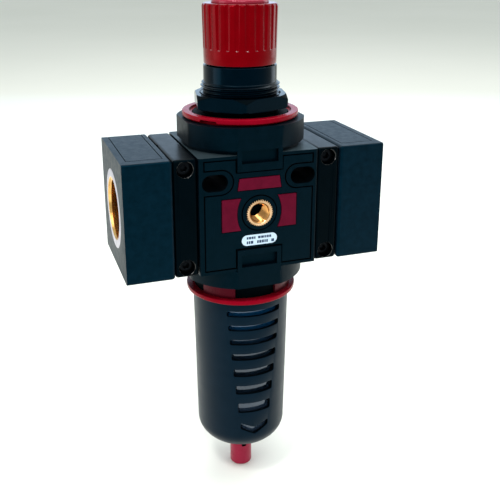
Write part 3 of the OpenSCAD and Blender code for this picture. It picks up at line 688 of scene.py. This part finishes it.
def shrink_pads(piece, margin):
    """Draws the outline of each separate flat pad of a piece in by margin, which leaves a joint round it."""
    work = bmesh.new()
    work.from_mesh(piece.data)
    left = set(work.verts)
    while left:
        pad, edge_of_pad = set(), [left.pop()]
        while edge_of_pad:
            vert = edge_of_pad.pop()
            pad.add(vert)
            for edge in vert.link_edges:
                other = edge.other_vert(vert)
                if other in left:
                    left.discard(other)
                    edge_of_pad.append(other)
        for axis in (0, 2):
            low, high = min(v.co[axis] for v in pad), max(v.co[axis] for v in pad)
            share = 1 - 2 * margin * MM / (high - low)
            for vert in pad:
                vert.co[axis] = (low + high) / 2 + (vert.co[axis] - (low + high) / 2) * share
    work.to_mesh(piece.data)
    work.free()
    return piece


for name in ("front_inlay_top", "front_inlay_left", "front_inlay_right", "rear_inlays"):
    pads = shrink_pads(softened(name + "_pad", name, 0.15, 2), 0.45)
    finish_piece(pads, "inlay", "housing", "inlay_red", name)


def stadium(length, width, z, inset=0.0):
    """An outline with straight long sides and half-round ends."""
    count = 16
    half, r = length / 2 - width / 2, width / 2 - inset
    right = [(half + r * math.cos(a), r * math.sin(a)) for a in
             (math.radians(-90 + 180 * i / count) for i in range(count + 1))]
    left = [(-half + r * math.cos(a), r * math.sin(a)) for a in
            (math.radians(90 + 180 * i / count) for i in range(count + 1))]
    return [(x, y, z) for x, y in right + left]


ON_FRONT = Matrix.Translation((0, 0, -18.6)) @ TO_FRONT


def label_plate(name):
    """The plain rating label, its rim eased."""
    size = (24.8, 7.4)
    rings = [stadium(*size, 40.0), stadium(*size, 40.17), stadium(*size, 40.24, inset=0.1)]
    return Shape().skin(rings, True, ON_FRONT).cap(rings[-1], ON_FRONT).cap(rings[0], ON_FRONT).object(name)


def label_print(name):
    """Two rows of printed dashes in place of lettering."""
    low, high = 40.20, 40.246
    widths = (1.2, 1.8, 1.0, 1.5, 2.0, 1.1, 1.4)
    dashes = Shape()
    for lower, middle, height in ((0, 1.6, 1.7), (1, -1.55, 2.0)):
        x = -9.0
        step = 0
        while x < 8.8:
            wide = widths[(step * 3 + lower * 2) % len(widths)]
            if (step + lower) % 6 != 4:
                z0, z1 = middle - height / 2, middle + height / 2
                corners = [(x, z0), (x + wide, z0), (x + wide, z1), (x, z1)]
                loops = [[(a, b, depth) for a, b in corners] for depth in (low, high)]
                dashes.skin(loops, True, ON_FRONT).cap(loops[-1], ON_FRONT)
            x += wide + 0.35
            step += 1
    return dashes.object(name)


rating_label = label_plate("rating_label_plate")
finish_piece(rating_label, "white", "housing", "white_plastic", "rating_label")
finish_piece(label_print("rating_label_print"), "print", "housing", "white_plastic")


# ---------------------------------------------------------------- gauge inserts

def gauge_insert(name, through):
    """Knurled brass insert with a threaded bore."""
    shape = Shape()
    teeth, per = 36, 8
    count = teeth * per
    face, flange = 40.9, 40.0

    def knurl(r, z, depth):
        return wavy(count, z, lambda i, a: r - depth * abs((i % per) / per * 2 - 1))

    loops = [circle(6.6, 27.0, count), circle(9.2, 27.0, count), circle(9.2, flange - 0.1, count),
             knurl(9.26, flange, 0.0), knurl(9.28, flange + 0.08, 0.85), knurl(9.28, face - 0.25, 0.85),
             knurl(9.05, face - 0.04, 0.75), circle(8.25, face, count), circle(7.30, face, count),
             circle(7.12, face - 0.12, count), circle(6.55, face - 0.95, count)]
    shape.skin(loops, True, through)
    shape.skin([circle(6.55, face - 0.95, 96)] + [circle(6.56, face - 1.0, 96)], True, through)
    shape.skin(thread(6.56, -0.82, 1.337, 27.0, face - 1.0, 96), False, through)
    return shape.object(name)


# The knurl's valleys at the foot of the insert's flange, which get painted shade
def round_the_flange(x, y, z, _normal):
    return math.hypot(x, z) > 8.2 and abs(y) < 40.12


# The threaded bore of a gauge insert, which gets a darker brass as painted shade
def in_gauge_bore(x, y, z, _normal):
    return math.hypot(x, z) < 7.2 and abs(y) < 40.6


for side, through in (("front", TO_FRONT), ("rear", TO_REAR)):
    bush = gauge_insert(side + "_gauge_bush", through)
    finish_piece(bush, "brass_y", "housing", "brass", side + "_gauge_insert")
    repaint(bush, "shadow", round_the_flange)
    repaint(bush, "bore", in_gauge_bore)
stopper = softened("rear_gauge_stopper", "rear_gauge_plug", 0.2, 2)
finish_piece(stopper, "black_steel", "housing", "black_steel", "rear_gauge_plug")


# ---------------------------------------------------------------- pipe blocks, port inserts and clamps

def outer_edges(node):
    """A test for the edges that lie on the outer box of a node along X, Y and Z."""
    margin = 0.6
    low, high = (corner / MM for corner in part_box(node))

    def test(middle, edge):
        near = sum(abs(middle[k] - low[k]) < margin or abs(middle[k] - high[k]) < margin for k in range(3))
        long = edge.calc_length() / MM > 8
        return near >= 2 and long
    return test


# The panel lines in the blocks' tops, which get painted shade
def in_panel_line(x, y, z, _normal):
    return 38.8 < abs(z) < 39.9 and abs(y) < 38.6 and 59.9 < abs(x) < 88.2


for side, body_node in (("inlet", "inlet_block"), ("outlet", "outlet_block")):
    inner_end = -57.5 if side == "inlet" else 57.5
    block = softened(side + "_pipe_block", body_node, 0.12, 2, first=(outer_edges(body_node), 0.7, 4),
                     ends=((inner_end,), 2.2, 39.5, 40.0, 1.5))
    finish_piece(block, "block", "housing", "block_enamel", body_node)
    repaint(block, "shadow", in_panel_line)


def port_insert(name, through):
    """Flanged brass insert with a threaded bore and a thin bright rim."""
    shape = Shape()
    profile = rounded([(20.95, 65.5), (25, 65.5), (25, 88), (26.9, 88), (26.9, 89.5), (21.4, 89.5),
                       (20.95, 88.9)], 0.25, False)
    shape.skin([circle(r, z, 128) for r, z in profile], True, through)
    shape.skin(thread(20.95, -1.47, 2.309, 65.5, 88.9, 128), False, through)
    return shape.object(name)


def on_flange(x, y, z, _normal):
    return abs(x) > 89.3 and math.hypot(y, z) > 21.6


for side, through in (("inlet", AGAINST_X), ("outlet", ALONG_X)):
    insert = port_insert(side + "_threaded_bush", through)
    finish_piece(insert, "brass", "housing", "brass", side + "_insert")
    repaint(insert, "flange", on_flange)


SCREW_X, SCREW_Z = 49.25, 33.3
CLAMP_FRONT = 38.25


def screw_mouths(middle, _edge):
    """True for the edges round the front mouths of the clamp screws' counterbores."""
    across = math.hypot(abs(middle.x) - SCREW_X, abs(middle.z) - SCREW_Z)
    return abs(middle.y + CLAMP_FRONT) < 0.05 and 5.0 < across < 5.5


def on_mouth(x, y, z, normal):
    """The chamfers of the counterbores' front mouths, which face their screws."""
    to_screw = Vector((math.copysign(SCREW_X, x) - x, 0, math.copysign(SCREW_Z, z) - z))
    near = -CLAMP_FRONT + 0.02 < y < -CLAMP_FRONT + 1.05 and 4.9 < to_screw.length < 6.5
    return near and normal.dot(to_screw) > 0.3 * to_screw.length


for side, x_ends in (("left", (-57.2, -41.3)), ("right", (41.3, 57.2))):
    for part in ("front", "rear"):
        node = f"{side}_clamp_{part}"
        half = softened(node + "_half", node, 0.3, 3, first=(screw_mouths, 1.0, 1),
                        ends=(x_ends, 2.1, CLAMP_FRONT, 39.9, 1.8))
        finish_piece(half, "clamp", "housing", "clamp_enamel", node)
        repaint(half, "polished", on_mouth)


def socket_screws(name):
    """Four socket-head screws with knurled heads, rounded rims and hexagon sockets."""
    shape = Shape()
    count = 120
    top, low = 34.25, 30.25

    def knurled(r, z, depth):
        return wavy(count, z, lambda i, a: r - depth * (i % 3 == 0))

    def hexagon(z):
        return wavy(count, z, lambda i, a: 2.0 / math.cos((a % (TAU / 6)) - TAU / 12))

    head = [circle(3.0, -34.8, count), circle(3.0, low, count), circle(4.9, low, count),
            knurled(5.0, low + 0.2, 0.18), knurled(5.0, top - 1.2, 0.18), knurled(4.95, top - 0.9, 0.02),
            circle(4.8, top - 0.35, count), circle(4.5, top - 0.08, count), circle(4.1, top, count),
            circle(2.45, top, count)]
    socket = [head[-1], hexagon(top - 0.25), hexagon(top - 2.5)]
    for sx in (-1, 1):
        for sz in (-1, 1):
            place = Matrix.Translation((sx * SCREW_X, 0, sz * SCREW_Z)) @ TO_FRONT
            shape.skin(head, True, place).cap(list(reversed(head[0])), place)
            shape.skin(socket, True, place).cap(socket[-1], place)
    return shape.object(name, 25)


finish_piece(socket_screws("clamp_cap_screws"), "black_steel", "housing", "black_steel", "clamp_screws")
finish_piece(softened("clamp_hex_nuts", "clamp_nuts", 0.25, 2), "steel", "housing", "steel", "clamp_nuts")


# ---------------------------------------------------------------- lock rings, bonnet and panel nut

LEG_ANGLES = (45, 135, 225, 315)
LEG_WIDTH = 41


def curved_block(shape, r0, r1, z0, z1, middle):
    """Adds a block bent round the vertical axis, its corners eased."""
    ease = 0.25
    steps = 24
    outline = [(r0, z0), (r1 - ease, z0), (r1, z0 + ease), (r1, z1 - ease), (r1 - ease, z1), (r0, z1)]
    loops = []
    for i in range(steps + 1):
        a = math.radians(middle - LEG_WIDTH / 2 + LEG_WIDTH * i / steps)
        loops.append([(r * math.cos(a), r * math.sin(a), z) for r, z in outline])
    shape.skin(loops).cap(list(reversed(loops[0]))).cap(loops[-1])


def upper_ring(name):
    """Lock ring with a flat rim, a sleeve down into the collar and four bayonet lugs."""
    rim = rounded([(32.9, 49.1), (35.0, 49.1), (35.0, 59.0, 0.2), (39.5, 59.0, 0.45), (39.5, 62.2, 0.7),
                   (34.7, 62.2, 0.3), (34.7, 60.5, 0.1), (32.9, 60.5)], 0.2, True, 4)
    count = 240
    loops = []
    for r, z in rim:
        loop = []
        for i in range(count):
            a = TAU * i / count
            off = abs((math.degrees(a) + 140 + 180) % 360 - 180)
            lift = 1.6 * min(max((9.4 - off) / 0.8, 0.0), 1.0) if r > 36.3 and z < 60.2 else 0.0
            loop.append((r * math.cos(a), r * math.sin(a), max(z, 59.0 + lift) if lift else z))
        loops.append(loop)
    loops.append(loops[0])
    shape = Shape().skin(loops)
    for middle in LEG_ANGLES:
        curved_block(shape, 34.6, 36.7, 49.1, 53.4, middle)
    return shape.object(name, 30)


def lower_ring(name):
    """Lock ring below the body: a rim with four walls rising from it into the body's bayonet."""
    rim = rounded([(33.6, -67.1), (39.2, -67.1, 0.9), (39.2, -63.9, 0.5), (33.6, -63.9)], 0.2, True, 4)
    loops = [circle(r, z, 240) for r, z in rim]
    loops.append(loops[0])
    shape = Shape().skin(loops)
    for middle in LEG_ANGLES:
        curved_block(shape, 33.6, 35.4, -64.2, -46.8, middle)
        curved_block(shape, 35.1, 38.9, -49.3, -46.8, middle)
    return shape.object(name, 30)


finish_piece(upper_ring("upper_ring_shell"), "ring", "upper_ring", "red_plastic", "upper_lock_ring")
ring_shell = lower_ring("lower_ring_shell")
finish_piece(ring_shell, "ring", "lower_ring", "red_plastic", "lower_lock_ring")
# The lower ring's walls get painted shade
repaint(ring_shell, "ring_wall_shade", lambda x, y, z, normal: z > -63.8)


def bonnet(name):
    """Bonnet with a flange inside the upper collar, the panel thread and a neck for the knob."""
    outside = rounded([(33, 41), (33, 37.5), (36.7, 37.5), (36.7, 48.8), (32.6, 48.8), (32.6, 61.2, 0.8),
                       (25.2, 61.2)], 0.3, False)
    inside = rounded([(25.2, 81.4), (24.7, 81.4), (24.7, 92.4, 0.6), (20.5, 92.4), (20.5, 110), (15, 110),
                      (15, 92.4), (7.08, 92.4), (7.08, 89), (21.3, 89), (21.3, 56), (30, 48), (30, 41),
                      (33, 41)], 0.3, False)
    shape = Shape()
    shape.skin([circle(r, z, 128) for r, z in outside])
    shape.skin(thread(25.2, 1.55, 2.5, 61.2, 81.4, 128, 0.5), False)
    shape.skin([circle(r, z, 128) for r, z in inside])
    return shape.object(name)


bonnet_shell = finish_piece(bonnet("bonnet_shell"), "black", "housing", "black_plastic", "bonnet")
# The bonnet's flange below the panel thread gets painted shade
repaint(bonnet_shell, "shadow", lambda x, y, z, normal: z < 63.5)


def hex_nut(name, flats, bore, z0, z1, turn, washer):
    """Hexagon nut whose corners are chamfered to a circle, with a raised washer face below."""
    count = 240
    rim = flats / 2 / math.cos(math.radians(30))

    def hexagon(z, limit):
        def radius(i, a):
            return min(flats / 2 / math.cos(((a - turn) % (TAU / 6)) - TAU / 12), limit)
        return wavy(count, z, radius)

    loops = [circle(bore, z1 - 0.6, count), circle(bore + 0.7, z1, count), hexagon(z1, 31.2)]
    for k in range(13):
        t = k / 12
        loops.append(hexagon(z1 - 0.05 - t * 2.75, 31.3 + t * (rim - 31.2)))
    loops += [hexagon(z0 + 1.6, rim - 0.25), hexagon(z0 + 1.15, rim - 0.9), hexagon(z0 + 1.0, rim - 1.2)]
    loops += [circle(r, z0 + z, count) for r, z in ((washer, 0.95), (washer, 0.2), (washer - 0.3, 0),
                                                    (bore + 0.5, 0), (bore, 0.5))]
    loops.append(loops[0])
    return Shape().skin(loops).object(name, 20)


nut = hex_nut("panel_hex_nut", 60, 26.78, 64, 73.5, math.radians(-102), 29.0)
finish_piece(nut, "black", "housing", "black_plastic", "panel_nut")
# The chamfer round the nut's top gets painted shade
repaint(nut, "shadow", lambda x, y, z, normal: z > 69 and 0.2 < normal.z < 0.97)


# ---------------------------------------------------------------- knob and drain knob

def knob_radius(z):
    """The knob's side leans outwards a little towards its top."""
    return 24.3 + 0.7 * (z - 93.8) / 36.4


def fluted_knob(name):
    """Knob with finger flutes that start above a smooth skirt and run out over the rounded top edge."""
    flutes, per = 24, 20
    count = flutes * per
    groove, deep, start = 2.3, 1.0, 104.2
    centre = 25 + groove - deep
    heights = [93.85, 98.0, 101.7] + [101.9 + 0.23 * k for k in range(11)] + [110, 118, 126, 130]
    outline = [(23.9, 93.4), (24.2, 93.5)] + [(knob_radius(z), z) for z in heights]
    outline += [(24.92, 130.6), (24.72, 131.2), (24.38, 131.7), (23.9, 132.05), (23.2, 132.2), (21.8, 132.2)]

    def ring(r, z):
        reach = groove if z >= start else math.sqrt(max(groove ** 2 - (start - z) ** 2, 0.0))
        points = []
        for i in range(count):
            a = TAU * (i / count) - TAU / 4
            off = TAU / flutes * (((i / per) % 1.0) - 0.5)
            out = r
            across = centre * math.sin(off)
            if abs(across) < reach:
                out = min(r, centre * math.cos(off) - math.sqrt(reach ** 2 - across ** 2))
            points.append((out * math.cos(a), out * math.sin(a), z))
        return points

    inside = [(21.0, 132.2), (9.5, 132.2), (9.5, 118), (6.0, 118), (6.0, 100), (11, 100), (11, 128.2),
              (22, 128.2), (22, 93.7), (22.3, 93.4)]
    loops = [ring(r, z) for r, z in outline]
    loops += [circle(r, z, count, -TAU / 4) for r, z in inside]
    loops.append(loops[0])
    return Shape().skin(loops).object(name, 38)


def at_flute_end(x, y, z, _normal):
    return 101.8 < z < 103.6 and 23 < math.hypot(x, y) < knob_radius(z) - 0.05


knob_shell = finish_piece(fluted_knob("knob_shell"), "red", "knob", "red_plastic", "knob")
repaint(knob_shell, "red_gloss", at_flute_end)
cap_profile = [(0, 127.5), (9.5, 127.5), (9.5, 132.2), (19, 132.2), (19, 133.8, 1.2), (17.6, 135.2, 1.0),
               (14, 136.3, 2.0), (8, 136.9, 3.0), (0, 137.0, 0)]
top_cap = turned("knob_top_cap", cap_profile, 0.3, 128, closed=False)
# The top cap gets a lighter red as a painted highlight
finish_piece(top_cap, "cap", "knob", "red_plastic", "knob_cap")

DRAIN_R = 8.3
NOTCH_Z = -203.6


def drain_knob(name):
    """Hollow drain knob with a notch in the front of its upper edge."""
    count = 144
    profile = rounded([(2.5, -212.4), (2.5, -220.4, 0.3), (7.4, -220.4, 0.5), (DRAIN_R, -219.4, 0.5),
                       (DRAIN_R, -205.5, 0.3), (DRAIN_R, -196.9, 0.4), (6.0, -196.9), (6.0, -212.4),
                       (2.5, -212.4)], 0.25, False)
    loops = []
    for r, z in profile:
        loop = []
        for i in range(count):
            a = TAU * i / count
            from_front = abs(((a - TAU * 0.75 + math.pi) % TAU) - math.pi) * DRAIN_R
            notch = r > 5.5 and z > NOTCH_Z - 0.1 and from_front < 2.0
            loop.append((r * math.cos(a), r * math.sin(a), NOTCH_Z if notch else z))
        loops.append(loop)
    return Shape().skin(loops).object(name)


# The floor and inner walls of the drain knob's notch, which get painted shade
def in_notch(x, y, z, normal):
    inner = normal.z > 0.5 or math.hypot(x, y) < DRAIN_R - 0.3
    return abs(x) < 2.2 and y < 0 and z > NOTCH_Z - 0.2 and inner


drain_grip = finish_piece(drain_knob("drain_grip"), "drain", "drain", "red_plastic", "drain_knob")
repaint(drain_grip, "shadow", in_notch)


# ---------------------------------------------------------------- bowl guard and bowl

GUARD_DOME_Z = -176.6


def guard(name):
    """Slotted guard: the columns of its grid follow the slots' ends, so each slot is a clean hole."""
    half = [34.6 - 1.3 * i - 0.14 * i * i for i in range(7)]
    tall = [4.2 + 0.9 * max(0, i - 2) for i in range(7)]
    tops = [-74.2]
    for i in range(1, 7):
        tops.append(tops[-1] - tall[i - 1] - 6.6 - 0.2 * i)

    # rows: height at the side, extra height at the middle, half angle of the slot's end, whether a hole
    # follows below, and the radius of the slot's corner
    rows = [(-70.0, 0.0, half[0], False, 0.0)]
    for i in range(7):
        rows.append((tops[i], 0.0, half[i], True, -1.5))
        rows.append((tops[i] - tall[i], 0.0, half[i], False, 1.5))
    last = 18.8
    rows += [(-165.4, -4.2, last, True, -1.2), (-170.0, -5.4, last, False, 1.2),
             (GUARD_DOME_Z, 0.0, last, False, 0.0)]
    inner_columns, outer_columns = 30, 22
    span = inner_columns + outer_columns

    def angles(edge):
        ease = [0.0, 0.004, 0.011, 0.021, 0.036]
        steps = ease + [0.05 + 0.9 * k / 20 for k in range(21)] + [1 - e for e in reversed(ease[1:])]
        part = [-edge + 2 * edge * t for t in steps]
        part += [edge + (180 - 2 * edge) * k / outer_columns for k in range(outer_columns)]
        return part + [a + 180 for a in part]

    def wall(z, inset):
        t = min(max((-75 - z) / 101.6, 0.0), 1.0)
        return 34.5 + (32.7 - 34.5) * t - inset

    def row(item, inset):
        z, rise, edge, _, bend = item
        points = []
        for a in angles(edge):
            off = ((a + 90) % 180) - 90
            zz = z + rise * max(0.0, 1 - abs(off) / edge)
            near = math.radians(edge - abs(off)) * 33.8
            if -1e-6 < near < abs(bend):
                zz += bend - math.copysign(math.sqrt(bend ** 2 - (abs(bend) - max(near, 0.0)) ** 2), bend)
            r = wall(zz, inset)
            t = math.radians(a - 90)
            points.append((r * math.cos(t), r * math.sin(t), zz))
        return points

    def plain(r, z, edge):
        turns = [math.radians(a - 90) for a in angles(edge)]
        return [(r * math.cos(t), r * math.sin(t), z) for t in turns]

    top = rounded([(31.3, -44.7), (35.2, -44.7), (35.2, -46.5), (33.3, -46.5), (33.3, -67.4),
                   (34.5, -67.4, 0.5), (34.5, -70)], 0.3, False)
    outside = [plain(r, z, half[0]) for r, z in top[:-1]]
    first = len(outside)
    outside += [row(item, 0.0) for item in rows]
    for k in range(1, 15):
        a = math.acos(8.9 / 32.7) * k / 14
        outside.append(plain(32.7 * math.cos(a), GUARD_DOME_Z - 19.7 * math.sin(a), last))
    inside = [plain(31.3, -44.7, half[0]), plain(31.3, -68.0, half[0])]
    second = len(inside)
    inside += [row(item, 2.2) for item in rows]
    for k in range(1, 15):
        a = math.acos(8.9 / 30.5) * k / 14
        inside.append(plain(30.5 * math.cos(a), GUARD_DOME_Z - 17.5 * math.sin(a), last))

    def hole(i, j, start):
        k = i - start
        return 0 <= k < len(rows) and rows[k][3] and j % span < inner_columns

    shape = Shape()
    shape.skin(outside, True, None, lambda i, j: hole(i, j, first))
    shape.skin(inside, True, None, lambda i, j: hole(i, j, second))
    shape.skin([outside[-1], inside[-1]])
    total = 2 * span
    for k, item in enumerate(rows):
        if not item[3]:
            continue
        for lead in (0, span):
            def around(loops, start):
                upper, lower = loops[start + k], loops[start + k + 1]
                edge = [upper[(lead + j) % total] for j in range(inner_columns + 1)]
                return edge + [lower[(lead + j) % total] for j in reversed(range(inner_columns + 1))]
            shape.skin([around(outside, first), around(inside, second)])
    piece = shape.object(name, 30)
    round_edges(piece, 0.35, 3, 40)
    return piece


def guard_shadow(x, y, z, normal):
    """The guard's upper edge, and the walls and inside of its slots, which get painted shade."""
    outward = (normal.x * x + normal.y * y) / math.hypot(x, y)
    return z > -67.3 or z > GUARD_DOME_Z and outward < 0.3


guard_shell = guard("bowl_guard_shell")
finish_piece(guard_shell, "guard", "housing", "guard_plastic", "bowl_guard")
repaint(guard_shell, "shadow", guard_shadow)


def bowl_outline():
    """Clear bowl: a flange, a straight wall and a domed bottom with a socket for the drain."""
    outside = [(28.6, -41.3), (35.2, -41.3), (35.2, -44.7), (31, -44.7), (31, -67, 2)]
    inside = []
    for k in range(15):
        a = math.acos(10 / 29.8) * k / 14
        outside.append((29.8 * math.cos(a), -172 - 21 * math.sin(a), 0))
        a = math.acos(10 / 27.6) * k / 14
        inside.insert(0, (27.6 * math.cos(a), -172 - 18 * math.sin(a), 0))
    return outside + [(5.9, -193), (5.9, -190), (10, -190)] + inside + [(28.6, -67, 2)]


bowl = turned("clear_bowl", bowl_outline(), 0.3, 96)
finish_piece(bowl, "clear", "housing", "clear_bowl", "bowl")


# ---------------------------------------------------------------- filter, valve and springs

def pleated_element(name):
    """Filter element with 48 shallow pleats outside."""
    profile = rounded([(15, -104), (21, -104), (21, -49), (15, -49)], 0.4)
    loops = [wavy(192, z, lambda i, a: r - 0.5 * (r > 18) * (0.5 + 0.5 * math.cos(48 * a)))
             for r, z in profile]
    loops.append(loops[0])
    return Shape().skin(loops).object(name, 50)


cartridge = pleated_element("filter_cartridge")
finish_piece(cartridge, "element", "housing", "element_plastic", "filter_element")
deflector = softened("vane_deflector", "air_deflector", 0.2, 2)
finish_piece(deflector, "white", "housing", "white_plastic", "air_deflector")
baffle = softened("element_baffle", "element_retainer", 0.2, 2)
finish_piece(baffle, "black", "housing", "black_plastic", "element_retainer")

range_coil = coil("range_coil", 16.5, 1.9, 36.4, 76.0, 6)
finish_piece(range_coil, "spring", "housing", "steel", "range_spring")
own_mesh(range_coil)
valve_coil = coil("valve_coil", 9.8, 0.6, -29.0, -9.0, 6)
finish_piece(valve_coil, "spring", "housing", "steel", "valve_spring")
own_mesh(valve_coil)

# The diaphragm as one rubber disc, baked where it stands, in place of the CAD node
disc = turned("diaphragm_disc", [(4, 32.6), (29.6, 32.6), (33, 36), (36.7, 36), (36.7, 37.5), (32.4, 37.5),
                                 (28.9, 33.8), (4, 33.8)], 0.1, 96)
disc.data.materials.append(PAINT["rubber"])
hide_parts("diaphragm")
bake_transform(disc)

keep("steel", "knob_retainer", "adjusting_screw", "thrust_washer", "spring_seat", "diaphragm_plate",
     "valve_stem", "drain_nut")
keep("brass_z", "diaphragm_hub", "valve_seat", "valve_poppet", "valve_guide")
keep("rubber", "inlet_seal", "outlet_seal", "poppet_seal", "guide_seal", "bowl_seal", "drain_seal")
keep("black", "drain_body")


# ---------------------------------------------------------------- floor

corners = [(x, y, FLOOR_Z / MM) for x, y in ((-9000, -3000), (9000, -3000), (9000, 16000), (-9000, 16000))]
floor = mesh_object("floor", corners, [(0, 1, 2, 3)], merge=False)
floor.data.materials.append(floor_paint())
